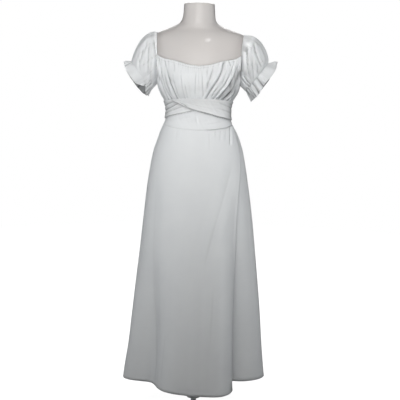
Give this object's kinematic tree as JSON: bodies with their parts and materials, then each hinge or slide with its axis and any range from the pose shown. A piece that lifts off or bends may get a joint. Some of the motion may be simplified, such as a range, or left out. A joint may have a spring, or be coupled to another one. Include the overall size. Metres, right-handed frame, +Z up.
{
  "type": "maxi dress on a dress form",
  "caption": "Long off-the-shoulder dress with puff sleeves, gathered bodice, wound sash and wrapped A-line skirt, worn by a limbless form on a stand.",
  "frame": {"origin": "on the floor, on the underside of the stand's base, under the middle of the neck", "axes": "+Z up the form, -Y towards the front of the dress, +X towards the wearer's left"},
  "size_m": [0.5578, 0.4002, 1.489],
  "materials": {
    "cloth": "matt white woven polyester, crepe-like",
    "sash": "matt white woven polyester, self fabric",
    "form": "satin pale warm grey",
    "stand": "white powder coat"
  },
  "bodies": {
    "root": {"stand_base": "stand", "stand_pole": "stand", "form_torso": "form", "bodice_front": "cloth", "bodice_back": "cloth", "midriff_front": "cloth", "midriff_back": "cloth", "skirt_front": "cloth", "skirt_under": "cloth", "skirt_back": "cloth", "sash_over": "sash", "sash_under": "sash", "sash_knot": "sash", "sash_tail_left": "sash", "sash_tail_right": "sash", "sleeve_left": "cloth", "sleeve_right": "cloth", "frill_left": "cloth", "frill_right": "cloth"}
  },
  "joints": []
}
